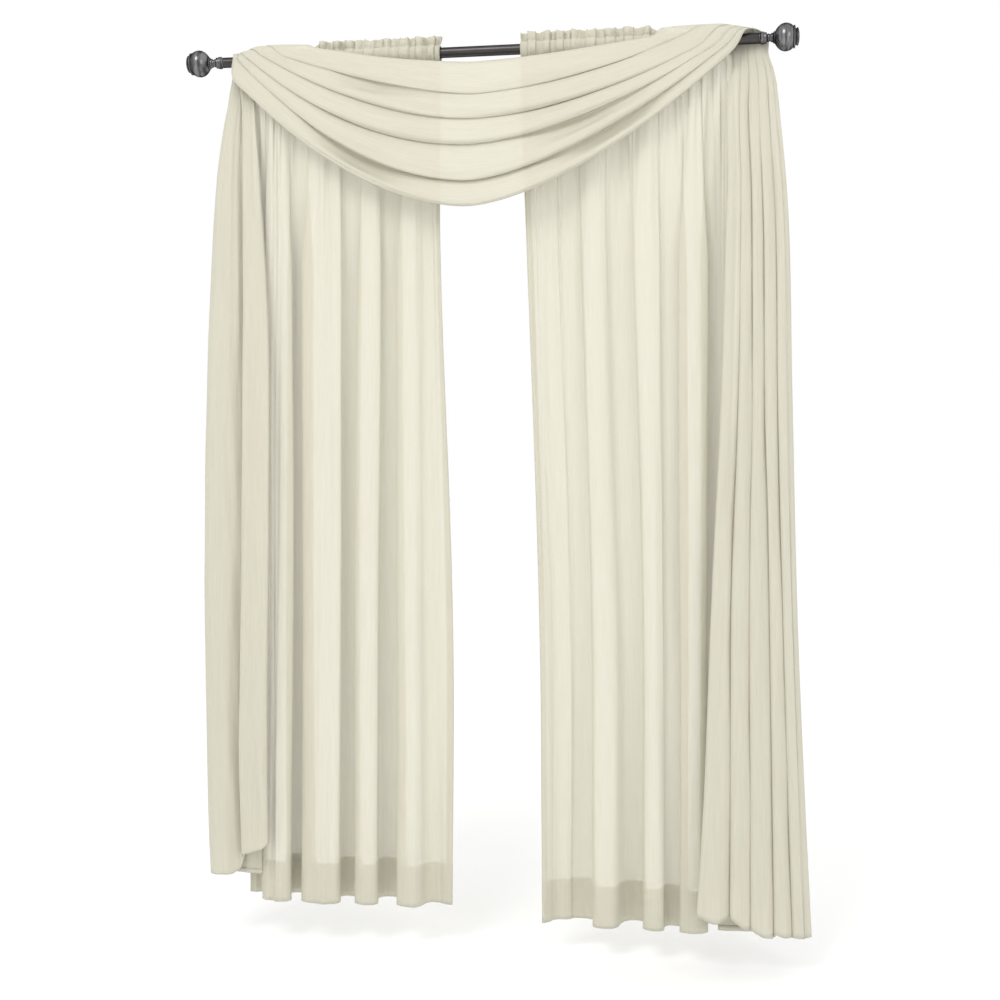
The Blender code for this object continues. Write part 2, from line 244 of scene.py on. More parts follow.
# %% [markdown]
# ## Folding a sheet
#
# A hanging cloth swings from crest to valley and back. Between two of them its slope is close to a sine
# of the way along the thread, the curve of a river's bends, and it depends on one angle: under a right
# angle the fold is open, over it the cloth doubles back on itself. fold_section() strings such half
# waves between the nodes of a section, and spline() carries sections smoothly along the cloth.

# %% Half waves and sections
WAVE_STEPS = np.linspace(0.0, 1.0, 65)


def half_wave(t, turn):
    """Way along and way out, each 0 to 1, of a cloth that turns up to this angle between two folds."""
    angle = turn * np.sin(np.pi * 0.5 * (WAVE_STEPS[1:] + WAVE_STEPS[:-1]))
    along = np.concatenate([[0.0], np.cumsum(np.cos(angle))])
    out = np.concatenate([[0.0], np.cumsum(np.sin(angle))])
    return np.interp(t, WAVE_STEPS, along / along[-1]), np.interp(t, WAVE_STEPS, out / out[-1])


def fold_section(nodes, out, turns, s):
    """Points at shares s of a section that swings from node to node; turns holds each swing's angle."""
    nodes = np.asarray(nodes, float)
    out = np.asarray(out, float)
    place = np.clip(s, 0.0, 1.0) * (len(nodes) - 1)
    start = np.minimum(place.astype(int), len(nodes) - 2)
    along = np.empty_like(place)
    swing = np.empty_like(place)
    for i, turn in enumerate(np.broadcast_to(turns, len(nodes) - 1)):
        here = start == i
        along[here], swing[here] = half_wave(place[here] - i, turn)
    step = nodes[start + 1] - nodes[start]
    lift = (step @ out)[:, None] * out
    return nodes[start] + (step - lift) * along[:, None] + lift * swing[:, None]


# %% A smooth run of sections
def spline(points, places):
    """A Catmull-Rom curve through points, read at places counted in points from the first."""
    points = np.asarray(points, float)
    padded = np.concatenate([[2 * points[0] - points[1]], points, [2 * points[-1] - points[-2]]])
    places = np.asarray(places, float)
    start = np.clip(places.astype(int), 0, len(points) - 2)
    t = (places - start).reshape(-1, *[1] * (points.ndim - 1))
    p0, p1, p2, p3 = (padded[start + k] for k in range(4))
    curve = 2 * p1 + (p2 - p0) * t + (2 * p0 - 5 * p1 + 4 * p2 - p3) * t**2
    return 0.5 * (curve + (3 * p1 - p0 - 3 * p2 + p3) * t**3)


quarter = [round(float(v), 3) for v in half_wave(0.25, 1.9)]
print("a half wave that doubles back, a quarter of the way on:", quarter)


# %% [markdown]
# ## From a grid to a hemmed cloth
#
# Every cloth is first a plain grid of points, one row per height and one column per place across. A hem
# is the same cloth turned back on itself, so it needs no shape of its own: the grid runs on past the
# edge and returns over its own rows, a layer further back. with_hems() lists which row or column each
# one of the finished cloth repeats, and hemmed() lays the turned ones behind the face. The double layer
# then shows as a denser band, as in real voile.

# %% Hems
LAYER_GAP = 0.0011


def back_way(points, sign):
    """The unit direction behind the cloth's face at every point of a grid."""
    down = np.gradient(points, axis=0)
    across = np.gradient(points, axis=1)
    way = np.cross(across, down)
    way /= np.maximum(np.linalg.norm(way, axis=2, keepdims=True), 1e-12)
    return sign * way


def with_hems(count, first, final):
    """A run of rows or columns as (index, True where it lies in a hem), so many turned at either end."""
    run = [(i, True) for i in reversed(range(first))] + [(i, False) for i in range(count)]
    return run + [(count - 1 - i, True) for i in range(final)]


def hemmed(points, back, rows, columns, end_layers=(3.0, -1.0)):
    """The finished grid of points. rows and columns are what with_hems() gives.

    end_layers is the layer of an end hem and how much that changes where a side hem is turned in with it.
    """
    end_layer, change = end_layers
    row_index, row_turned = (np.array(part) for part in zip(*rows))
    column_index, column_turned = (np.array(part) for part in zip(*columns))
    layer = column_turned[None, :].astype(float) * np.ones((len(rows), 1))
    layer = np.where(row_turned[:, None], end_layer + change * layer, layer)
    picked = np.ix_(row_index, column_index)
    return points[picked] + back[picked] * layer[..., None] * LAYER_GAP


print("four columns with one turned at each end:", with_hems(4, 1, 1))

# %% [markdown]
# ## From points to a piece
#
# A flat grid from Blender's own operator gets the points' places and keeps its place in the cut cloth
# as a UV map, which the voile reads. A Solidify modifier then gives it the thickness of real voile on
# both sides.


# %% A thin closed sheet
CLOTH_THICKNESS = 0.0006


def cloth(name, points, across, along, material):
    """A thin closed sheet over a grid of points; across and along are its places in the cut cloth."""
    rows, columns = points.shape[:2]
    mesh = bpy.data.meshes.new(name)
    sheet = bmesh.new()
    weave = sheet.loops.layers.uv.new("Cloth")
    bmesh.ops.create_grid(sheet, x_segments=columns - 1, y_segments=rows - 1, size=0.5)
    places = {}
    for vertex in sheet.verts:
        row = round((vertex.co.y + 0.5) * (rows - 1))
        column = round((vertex.co.x + 0.5) * (columns - 1))
        places[vertex] = (float(across[column]), float(along[row]))
        vertex.co = points[row, column]
    for face in sheet.faces:
        for loop in face.loops:
            loop[weave].uv = places[loop.vert]
    sheet.to_mesh(mesh)
    sheet.free()
    mesh.shade_smooth()
    mesh.materials.append(material)
    piece = bpy.data.objects.new(name, mesh)
    bpy.context.scene.collection.objects.link(piece)
    shell = piece.modifiers.new("Cloth thickness", "SOLIDIFY")
    shell.thickness = CLOTH_THICKNESS
    shell.offset = 0.0
    return piece


# %% The area of a cloth
def area_of(points):
    """The area of a grid of points, in square metres."""
    one = np.cross(points[1:, :-1] - points[:-1, :-1], points[:-1, 1:] - points[:-1, :-1])
    two = np.cross(points[1:, :-1] - points[1:, 1:], points[:-1, 1:] - points[1:, 1:])
    return 0.5 * (np.linalg.norm(one, axis=2).sum() + np.linalg.norm(two, axis=2).sum())


# %% [markdown]
# ## The panels' folds
#
# Each panel swings through about ten crests and valleys, listed from its inner edge outwards: where
# each sits on the rod and where at the hem, how far it stands behind or before the rod, the drop over
# which it gets there, and the angle of the swing to the next one. The outer folds double over, which
# makes that side look denser; the inner side hangs open, and one layer shows there.

# %% The folds of both panels
LEFT_FOLDS = (
    # heading, hem, set, drop, turn
    (0.108, 0.076, -0.004, 1.6, 0.90),
    (0.140, 0.126, 0.008, 1.6, 1.30),
    (0.180, 0.170, -0.040, 1.6, 1.85),
    (0.234, 0.240, 0.036, 1.6, 1.85),
    (0.280, 0.286, -0.040, 1.6, 1.75),
    (0.338, 0.346, 0.030, 1.6, 1.95),
    (0.372, 0.371, -0.044, 1.6, 0.60),
    (0.413, 0.413, -0.046, 1.6, 1.95),
    (0.470, 0.470, 0.036, 1.6, 2.03),
    (0.508, 0.508, -0.046, 1.6, 0.60),
    (0.534, 0.535, -0.040, 1.6, 1.70),
    (0.562, 0.572, 0.024, 0.6, 1.20),
    (0.582, 0.601, 0.022, 0.04, 1.20),
)
RIGHT_FOLDS = (
    # heading, hem, set, drop, turn
    (0.096, 0.147, -0.018, 1.6, 1.20),
    (0.155, 0.190, 0.014, 1.6, 1.40),
    (0.205, 0.243, 0.030, 1.6, 1.72),
    (0.262, 0.300, -0.042, 1.6, 1.45),
    (0.330, 0.366, 0.032, 1.6, 1.72),
    (0.395, 0.418, -0.040, 1.6, 1.60),
    (0.458, 0.462, 0.006, 1.6, 1.95),
    (0.511, 0.511, -0.042, 1.6, 1.95),
    (0.556, 0.558, 0.042, 1.0, 1.20),
    (0.592, 0.603, 0.036, 0.04, 1.20),
)
DROP_START = 0.07
EDGE_START = 0.016
BELOW_ROD_Y = -0.003
LEFT_HEM = -2.090
RIGHT_HEM = -2.118
print("swings across the left and the right panel:", len(LEFT_FOLDS) - 1, len(RIGHT_FOLDS) - 1)

# %% [markdown]
# ## Ruffles
#
# On the rod the whole width is pushed together, so the cloth ruffles, with fine gathers between the
# ruffles. Both fade on the way down, where the deep folds take the width up. The folds reach their full
# depth only at the hem.

# %% Ruffles and the depth of the folds
RUFFLES = 14
RUFFLE_DEPTH = 0.0092
RUFFLE_SWING = 0.0042
GATHERS = 37
GATHER_DEPTH = 0.0016
RUFFLE_ON_BODY = 0.60
RUFFLES_FADE_FROM, RUFFLES_FADE_BY = 0.03, 0.46
FOLDS_OPEN_BY = 0.30


def fold_depth(drop):
    """How deep the folds are at a drop below the rod, as a share of their depth at the hem."""
    return 0.11 * smooth(drop / 0.12) + 0.30 * smooth(drop / 0.6) + 0.59 * (drop / 2.1) ** 1.8


def ruffles(s):
    """The ruffles across a panel: how far each stands out and leans sideways, and the fine gathers."""
    slow = 0.75 + 0.25 * np.sin(5.1 * np.pi * s + 0.6)
    phase = 2 * np.pi * RUFFLES * s + 0.7 * np.sin(7.3 * s + 0.4)
    fine = np.sin(2 * np.pi * GATHERS * s + 1.9 * np.sin(11.0 * s) + 0.8 * np.sin(29.0 * s))
    return slow * np.sin(phase), -slow * np.sin(2 * phase), fine


for drop in (0.1, 0.6, 2.1):
    print("folds at a drop of", drop, "m:", round(float(fold_depth(drop)), 2), "of their depth")

# %% [markdown]
# ## The hanging part of a panel
#
# One row of points is one height of the cloth. Its nodes come from the table of folds and its ruffles
# fade in from the rod, and slow noise dents the folds the way a light cloth does. Below the rod the row
# changes over from even gathers to the folds.


# %% One row of a panel
FRONT = (0.0, -1.0, 0.0)
NODE_WANDER = 0.0035
SLOW_DENTS, SMALL_DENTS = 0.0042, 0.0016
ALL_OUTER_FROM = 0.86


def panel_body(folds, side, drop, s):
    """One row of a panel's points at a drop below the rod."""
    table = np.array(folds)
    heading, hem, set_y, reach, turn = table.T
    x = mix(heading, hem, smooth((drop - np.where(reach < 0.1, EDGE_START, DROP_START)) / reach))
    wander = NODE_WANDER * np.sin(3.1 * drop + 2.4 * np.arange(len(x)))
    x = x + wander * smooth(drop / 0.5) * smooth((2.3 - drop) / 0.5)
    nodes = np.stack([x, set_y * fold_depth(drop), np.zeros_like(x)], axis=1)
    opened = smooth(drop / FOLDS_OPEN_BY)
    body = fold_section(nodes, FRONT, mix(1.2, turn[:-1], smooth(drop / 0.55)), s)
    out, lean, fine = ruffles(s)
    fading = 1.0 - smooth((drop - RUFFLES_FADE_FROM) / (RUFFLES_FADE_BY - RUFFLES_FADE_FROM))
    pleat = 1.0 - smooth(drop / 0.85)
    along = np.full_like(s, drop)
    soft = uneven(16.0 * s, 1.3 * along, 3.0 + side) * SLOW_DENTS * opened
    soft += uneven(44.0 * s, 2.6 * along, 7.0 + side) * SMALL_DENTS
    heading_x = np.interp(s * (len(x) - 1), range(len(x)), heading)
    heading_x = heading_x + (x[-1] - heading[-1]) * smooth((s - ALL_OUTER_FROM) / (1.0 - ALL_OUTER_FROM))
    points = np.empty((len(s), 3))
    points[:, 0] = mix(heading_x, body[:, 0], opened) + RUFFLE_SWING * 0.7 * lean * fading
    points[:, 1] = body[:, 1] + RUFFLE_ON_BODY * RUFFLE_DEPTH * out * fading
    points[:, 1] += GATHER_DEPTH * fine * pleat
    points[:, 1] += BELOW_ROD_Y * (1.0 - opened) + soft
    points[:, 2] = -drop
    points[:, 0] *= side
    return points


# %% [markdown]
# ## Pocket and heading
#
# At its top the cloth is turned back and sewn twice. The rod slides between the two seams, and the
# cloth above the upper seam stands up as a ruffled heading. So the rows of the grid go up the front of
# the rod, pinch together at the seam, go up and over the heading's edge, and come down behind to the
# lower seam. Under the scarf the heading is pressed flat, so its height depends on the place along the
# rod.

# %% The section over the rod
POCKET_ROWS = (
    # z, y before the rod, y behind it, bulge away from it, swing with the ruffles
    (-0.0255, -0.0052, 0.0042, 0.10, 0.60),
    (-0.0210, -0.0090, 0.0078, 0.20, 0.60),
    (-0.0130, -0.0130, 0.0120, 0.34, 0.65),
    (-0.0020, -0.0148, 0.0150, 0.40, 0.75),
    (0.0080, -0.0134, 0.0128, 0.34, 0.85),
    (0.0138, -0.0112, 0.0076, 0.16, 0.95),
    (0.0168, -0.0096, 0.0034, 0.10, 1.00),
)
HEADING_ROWS = (
    # share of the heading's height, y, ruffle
    (0.00, -0.0104, 0.55),
    (0.16, -0.0106, 0.70),
    (0.45, -0.0104, 0.95),
    (0.75, -0.0092, 1.15),
    (0.94, -0.0078, 1.25),
    (1.00, -0.0060, 1.28),
    (0.94, -0.0040, 1.25),
    (0.75, -0.0028, 1.15),
    (0.45, -0.0032, 0.95),
    (0.16, -0.0052, 0.70),
    (0.00, -0.0066, 0.55),
)
PINCH_HEIGHT = 0.0172
HEADING_HEIGHT, PRESSED_HEIGHT = 0.0215, 0.0072
PRESSED_FROM, PRESSED_BY = 0.400, 0.440
SEAM_BULGE = 0.1
SEAM_RUFFLE = 0.45
print("rows over the rod and the heading:", 2 * len(POCKET_ROWS) + len(HEADING_ROWS))


# %% Pocket and heading of a panel
def seam_wave(bulge, out):
    """The ruffles beside a seam. Between the seams the rod spreads the cloth, and they don't show."""
    return RUFFLE_DEPTH * out * (SEAM_RUFFLE if bulge <= SEAM_BULGE else 0.0)


def panel_top(folds, side, s):
    """Rows from the front of the pocket over the heading and down behind the rod."""
    out, lean, fine = ruffles(s)
    x = np.interp(s * (len(folds) - 1), range(len(folds)), [fold[0] for fold in folds])
    tall = mix(HEADING_HEIGHT, PRESSED_HEIGHT, smooth((x - PRESSED_FROM) / (PRESSED_BY - PRESSED_FROM)))
    tall = tall + 0.0022 * out + 0.0030 * uneven(26.0 * s, 0.0, 11.0 + side)
    stir = 0.0048 * uneven(44.0 * s, 0.0, 17.0 + side)
    rows = []
    for z, y, _, bulge, swing in POCKET_ROWS:
        push = 1.3 * bulge * RUFFLE_DEPTH * (1.0 - out) + 1.2 * GATHER_DEPTH * (1.0 - fine)
        height = np.full_like(s, z)
        rows.append((x + RUFFLE_SWING * swing * lean, y - push + seam_wave(bulge, out), height))
    for share, y, ruffle in HEADING_ROWS:
        wave = 1.15 * RUFFLE_DEPTH * ruffle * out + 2.8 * GATHER_DEPTH * fine
        sway = 1.05 * RUFFLE_SWING * ruffle * lean + share * stir
        rows.append((x + sway, y + wave + 0.8 * share * stir, PINCH_HEIGHT + share * tall))
    for z, _, behind, bulge, swing in reversed(POCKET_ROWS):
        push = 0.7 * bulge * RUFFLE_DEPTH * (1.0 + out) + GATHER_DEPTH * (1.0 + fine)
        height = np.full_like(s, z)
        rows.append((x + RUFFLE_SWING * swing * lean, behind + push + seam_wave(bulge, out), height))
    tops = np.array(rows).transpose(0, 2, 1)
    tops[:, :, 0] *= side
    return tops


# %% [markdown]
# ## Making both panels
#
# The two panels are one recipe with two tables. The bottom hem is a deep double turn of about 98 mm and
# the side hems are narrow, so the corners are the densest places. The rows are closer together near the
# rod, where small gathers run out into the big folds.

# %% A panel's grid
PANEL_WIDTH = 1.02
SIDE_HEM = 0.024
SIDE_HEM_STEPS = np.array([0.0, 0.33, 0.67, 1.0])
COLUMNS_A_SWING = 28
BOTTOM_HEM = 0.098
BOTTOM_HEM_STEPS = np.array([0.0, 0.012, 0.05, 0.086, BOTTOM_HEM])
GATHERS_END = 0.40
POCKET_START = 0.034
LONG_ROWS, GATHERED_ROWS = 50, 32


def panel_grid(folds, side, hem_z):
    """A panel's points with its hems turned, and their places across and along the cut cloth."""
    gaps = len(folds) - 1
    turn_in = SIDE_HEM / PANEL_WIDTH
    inside = SIDE_HEM_STEPS * turn_in
    middle = np.linspace(turn_in, 1.0 - turn_in, gaps * COLUMNS_A_SWING - 2 * len(inside))[1:-1]
    s = np.concatenate([inside, middle, 1.0 - inside[::-1]])
    in_hem = -hem_z - BOTTOM_HEM_STEPS
    hanging = np.linspace(in_hem[-1], GATHERS_END, LONG_ROWS)[1:]
    gathered = np.linspace(GATHERS_END, POCKET_START, GATHERED_ROWS)[1:]
    drops = np.concatenate([in_hem, hanging, gathered])
    body = np.array([panel_body(folds, side, drop, s) for drop in drops])
    top = panel_top(folds, side, s)
    joined = np.concatenate([body, top])
    finer = np.arange(len(body) - 1, len(joined) - 1, 0.5)[1:]
    points = np.concatenate([body, spline(joined, finer), joined[-1:]])
    back = back_way(points, -side)
    columns = with_hems(len(s), len(SIDE_HEM_STEPS), len(SIDE_HEM_STEPS))
    rows = with_hems(len(points), len(BOTTOM_HEM_STEPS), 0)
    finished = hemmed(points, back, rows, columns)
    places = np.concatenate([drops, np.full(len(points) - len(drops), 0.0)])
    path = np.linalg.norm(np.diff(points[len(body) - 1 :, (len(s) - 1) // 2], axis=0), axis=1)
    places[len(body) - 1 :] = drops[-1] - np.concatenate([[0.0], np.cumsum(path)])
    print("panel: one layer of", round(area_of(points), 3), "m2, grid", finished.shape[:2])
    return finished, s[[i for i, _ in columns]] * PANEL_WIDTH, places[[i for i, _ in rows]]


# %% Both panels
panel_left = cloth("panel_left_voile", *panel_grid(LEFT_FOLDS, -1, LEFT_HEM), panel_voile)
panel_right = cloth("panel_right_voile", *panel_grid(RIGHT_FOLDS, 1, RIGHT_HEM), panel_voile)

# %% [markdown]
# ## The scarf's swag
#
# Between its two crossings the scarf hangs in a swag of five rolls that lie like shingles. Each line
# below is an edge or a crease, from the upper edge down: where it leaves the rod at either end, how low
# it hangs and how round it bends. A roll comes out from under the one above, swells towards its lower
# edge and tucks back behind it, which draws a thin dark line. Some creases run out into smooth cloth
# before they reach the rod, and some gape on the way, so the last columns and a second table say where.

# %% The lines of the swag
SWAG_LOW_X = -0.02
NEVER = 9.0
SWAG_LINES = (
    # left x, left z, right x, right z, lowest z, bend left, bend right, y at the ends, y at its lowest,
    # and how far out the crease runs into smooth cloth on the left and on the right
    (-0.414, 0.017, 0.414, 0.007, -0.038, 1.55, 1.48, -0.034, -0.040, NEVER, NEVER),
    (-0.500, 0.002, 0.482, 0.002, -0.117, 1.50, 1.70, -0.036, -0.046, 1.02, 0.84),
    (-0.550, 0.003, 0.525, -0.018, -0.178, 1.80, 1.80, -0.034, -0.052, NEVER, NEVER),
    (-0.592, 0.002, 0.562, -0.020, -0.242, 2.00, 1.65, -0.030, -0.058, NEVER, 0.86),
    (-0.612, -0.008, 0.588, -0.020, -0.330, 1.90, 1.55, -0.026, -0.064, 0.74, 0.92),
    (-0.630, -0.048, 0.606, -0.028, -0.394, 1.85, 1.60, -0.021, -0.066, NEVER, NEVER),
)
SWAG_ROLLS = (0.018, 0.022, 0.025, 0.030, 0.024)
SWAG_STATIONS = (1.0, 0.92, 0.84, 0.74, 0.62, 0.48, 0.36, 0.24, 0.12)
GAPING = (
    # crease, where between the ends (-1 to 1), how far it reaches, how much
    (1, -0.52, 0.28, 1.4),
    (4, -0.46, 0.30, 2.0),
    (3, 0.46, 0.34, 1.5),
    (4, 0.56, 0.30, 1.8),
    (2, 0.20, 0.40, 0.3),
)
print("lines of the swag:", len(SWAG_LINES), "lowest point", SWAG_LINES[-1][4])

# %% [markdown]
# ## One roll
#
# A roll's section is a short list too: how far down towards the next crease, and how far it swells
# before the line between them. The first roll starts at the scarf's upper edge and the last one ends at
# the lower edge, so these two have ends of their own.

# %% The section of a roll
ROLL = (
    # share of the way to the next crease and swell, the same two beside a crease that has run out,
    # and how both give way in a gaping crease
    (0.00, 0.34, 0.00, 0.86, 0.00, 0.34),
    (0.06, 0.45, 0.07, 0.90, 0.09, 0.36),
    (0.21, 0.65, 0.22, 0.95, 0.14, 0.40),
    (0.46, 0.86, 0.45, 1.00, 0.08, 0.20),
    (0.72, 1.00, 0.70, 1.00, 0.00, 0.00),
    (0.92, 0.97, 0.88, 0.95, 0.00, 0.00),
    (1.02, 0.77, 0.94, 0.91, 0.00, 0.00),
    (1.015, 0.58, 0.97, 0.88, 0.00, 0.00),
    (0.985, 0.42, 0.985, 0.87, 0.00, 0.00),
)
TOP_EDGE = ((0.00, 0.30), (0.10, 0.42), (0.24, 0.66))
LOWER_EDGE = ((0.72, 1.00), (0.84, 0.96), (0.91, 0.90), (0.96, 0.82), (1.00, 0.72))
ROLLS = len(SWAG_ROLLS)
UPPER_POINTS = 4
RUNS_OUT_OVER = 0.14


def roll_shapes(run_out, gape):
    """For every roll its (share of the way down, swell) pairs; run_out and gape have a value a crease."""
    shapes = []
    for i in range(ROLLS):
        shape = []
        for k, (share, swell, plain_share, plain_swell, wider, lower) in enumerate(ROLL):
            crease = i if k < UPPER_POINTS else i + 1
            share = mix(share + wider * gape[crease], plain_share, run_out[crease])
            swell = mix(swell - lower * gape[crease], plain_swell, run_out[crease])
            shape.append((share, swell))
        if i == 0:
            shape[: len(TOP_EDGE)] = TOP_EDGE
        if i == ROLLS - 1:
            shape[UPPER_POINTS:] = LOWER_EDGE
        shapes.append(shape)
    return shapes


def creases_at(u):
    """How far each crease has run out at u, and how much it gapes."""
    run_out, gape = [], np.zeros(ROLLS + 1)
    for *_, left_end, right_end in SWAG_LINES:
        end = left_end if u < 0 else right_end
        run_out.append(float(smooth((abs(u) - end) / RUNS_OUT_OVER + 0.5)))
    for crease, place, reach, amount in GAPING:
        gape[crease] += amount * (1.0 - smooth(abs(u - place) / reach))
    return run_out, gape


print("points across the swag's rolls:", [len(shape) for shape in roll_shapes(*creases_at(0.0))])

# %% [markdown]
# ## One section of the swag
#
# A section is the cloth at one place between the two crossings. Its creases hang on their curves,
# lowest near the middle, and the rolls are slacker there than at the ends, where the rod draws them
# tight.


# %% A section of the swag
SLACK_AT_ENDS = 0.26


def swag_section(u, s):
    """Points of the swag at u, from -1 at the left end to 1 at the right one."""
    creases = []
    for *ends, low_z, bend_left, bend_right, end_y, low_y, _, _ in SWAG_LINES:
        end_x, end_z, bend = (*ends[:2], bend_left) if u < 0 else (*ends[2:], bend_right)
        hang = 1.0 - abs(u) ** bend
        x = mix(SWAG_LOW_X, end_x, abs(u))
        creases.append(np.array([x, mix(end_y, low_y, hang), mix(end_z, low_z, hang)]))
    slack = SLACK_AT_ENDS + (1.0 - SLACK_AT_ENDS) * smooth((1.0 - abs(u)) / 0.60)
    points = []
    shapes = roll_shapes(*creases_at(u))
    for upper, lower, roll, shape in zip(creases, creases[1:], SWAG_ROLLS, shapes):
        for share, swell in shape:
            points.append(mix(upper, lower, share) - np.array([0.0, roll * slack * swell, 0.0]))
    return spline(points, s * (len(points) - 1))


# %% [markdown]
# ## Over the rod
#
# At each end the scarf rises before the rod, turns over it and drops behind. It lies tight on the bare
# end of the rod and wider over the panel's heading. The sections therefore turn about the rod's axis,
# with the pleats standing out from it and leaning outwards. On the way round, the pleats gather into
# the tail's first row.

# %% The crossings
LEFT_BARE, RIGHT_BARE = (0.555, 0.640), (0.560, 0.690)
BARE_TURN = 0.0152
OVER_HEADING_Y, OVER_HEADING_Z = 0.0330, 0.0332
PLEAT_ON_ROD = 0.0045
LEFT_CROSSING = (
    # degrees round from the top towards the back at the upper and the lower edge, place of each along the
    # rod, and how far the pleats between them lean outwards
    (-40, -62, 0.430, 0.632, 0.015),
    (-10, -22, 0.450, 0.634, 0.026),
    (24, 18, 0.476, 0.636, 0.028),
    (60, 58, 0.520, 0.638, 0.018),
    (98, 98, 0.570, 0.640, 0.000),
)
RIGHT_CROSSING = (
    (-40, -62, 0.430, 0.630, 0.018),
    (-10, -22, 0.446, 0.650, 0.032),
    (24, 18, 0.474, 0.664, 0.034),
    (60, 58, 0.520, 0.673, 0.022),
    (98, 98, 0.568, 0.680, 0.000),
)
GATHERED_FROM, GATHERED_BY = -10, 98
print("sections over the rod, left and right:", len(LEFT_CROSSING), len(RIGHT_CROSSING))


# %% A section over the rod
def crossing_section(row, side, gathered, s):
    """Points of one turn over the rod, which reaches the tail's first row, gathered, behind it."""
    upper_turn, lower_turn, upper_x, lower_x, lean = row
    ends = np.array([-line[0] if side < 0 else line[2] for line in SWAG_LINES])
    spacing = (ends - ends[0]) / (ends[-1] - ends[0])
    shapes = roll_shapes(*creases_at(float(side)))
    path = []
    for upper, lower, shape in zip(spacing, spacing[1:], shapes):
        path += [(mix(upper, lower, share), PLEAT_ON_ROD * swell) for share, swell in shape]
    share, swell = spline(path, s * (len(path) - 1)).T
    middle_turn = 0.5 * (upper_turn + lower_turn)
    into = float(smooth((middle_turn - GATHERED_FROM) / (GATHERED_BY - GATHERED_FROM)))
    along = mix(upper_x, lower_x, share) + 4.0 * lean * share * (1.0 - share)
    x = mix(along, side * gathered[:, 0], into)
    swell = mix(swell, gathered[:, 1] - gathered[:, 1].min(), into)
    turn = np.radians(mix(upper_turn, lower_turn, share))
    bare_from, bare_by = LEFT_BARE if side < 0 else RIGHT_BARE
    bare = smooth((x - bare_from) / (bare_by - bare_from))
    y = (mix(OVER_HEADING_Y, BARE_TURN, bare) + swell) * np.sin(turn)
    z = (mix(OVER_HEADING_Z, BARE_TURN, bare) + swell) * np.cos(turn)
    return np.stack([side * x, y, z], axis=1)


# %% [markdown]
# ## The tails
#
# Behind the rod the scarf is gathered up, comes forward under the rod and hangs down as a tail. Each
# row of the table is one height, with the place of its inner and outer selvage, how far they stand
# before the rod, how deep the folds are and where the edges of the folds lie across the tail. A second
# table says how far the hem hangs above or below the last row.

# %% The heights of both tails
LEFT_TAIL = (
    # z, inner x, outer x, inner y, outer y, depth, and the edges of its folds as shares of the width
    (-0.034, 0.598, 0.645, 0.020, 0.016, 0.005, (0.00, 0.58, 1.0)),
    (-0.070, 0.590, 0.650, 0.010, 0.012, 0.009, (0.00, 0.54, 1.0)),
    (-0.108, 0.579, 0.654, 0.000, 0.008, 0.014, (0.00, 0.50, 1.0)),
    (-0.150, 0.574, 0.660, -0.011, 0.002, 0.019, (0.00, 0.43, 1.0)),
    (-0.220, 0.566, 0.669, -0.021, -0.005, 0.025, (0.00, 0.375, 1.0)),
    (-0.340, 0.554, 0.680, -0.031, -0.012, 0.031, (0.00, 0.37, 1.0)),
    (-0.640, 0.531, 0.694, -0.043, -0.018, 0.037, (0.00, 0.40, 1.0)),
    (-0.900, 0.524, 0.700, -0.049, -0.021, 0.040, (0.00, 0.41, 1.0)),
    (-1.250, 0.523, 0.702, -0.054, -0.023, 0.044, (0.00, 0.42, 1.0)),
    (-1.700, 0.525, 0.697, -0.060, -0.026, 0.048, (0.00, 0.44, 1.0)),
    (-1.960, 0.521, 0.685, -0.064, -0.028, 0.048, (0.00, 0.44, 1.0)),
)
RIGHT_TAIL = (
    (-0.034, 0.592, 0.686, 0.019, 0.016, 0.005, (0.00, 0.28, 0.47, 0.66, 0.83, 1.0)),
    (-0.066, 0.591, 0.696, 0.011, 0.011, 0.008, (0.00, 0.26, 0.46, 0.65, 0.83, 1.0)),
    (-0.108, 0.589, 0.705, 0.001, 0.005, 0.012, (0.00, 0.25, 0.44, 0.63, 0.81, 1.0)),
    (-0.160, 0.587, 0.710, -0.012, -0.002, 0.017, (0.00, 0.24, 0.42, 0.61, 0.80, 1.0)),
    (-0.240, 0.588, 0.717, -0.025, -0.009, 0.022, (0.00, 0.23, 0.41, 0.59, 0.79, 1.0)),
    (-0.360, 0.589, 0.727, -0.038, -0.016, 0.027, (0.00, 0.23, 0.41, 0.59, 0.785, 1.0)),
    (-0.540, 0.583, 0.735, -0.048, -0.020, 0.032, (0.00, 0.235, 0.42, 0.60, 0.79, 1.0)),
    (-0.860, 0.574, 0.740, -0.058, -0.024, 0.038, (0.00, 0.242, 0.432, 0.608, 0.79, 1.0)),
    (-1.330, 0.552, 0.750, -0.064, -0.028, 0.044, (0.00, 0.231, 0.441, 0.675, 0.826, 1.0)),
    (-1.770, 0.535, 0.767, -0.068, -0.030, 0.050, (0.00, 0.26, 0.455, 0.674, 0.828, 1.0)),
    (-2.090, 0.517, 0.783, -0.070, -0.032, 0.056, (0.00, 0.29, 0.469, 0.673, 0.83, 1.0)),
)

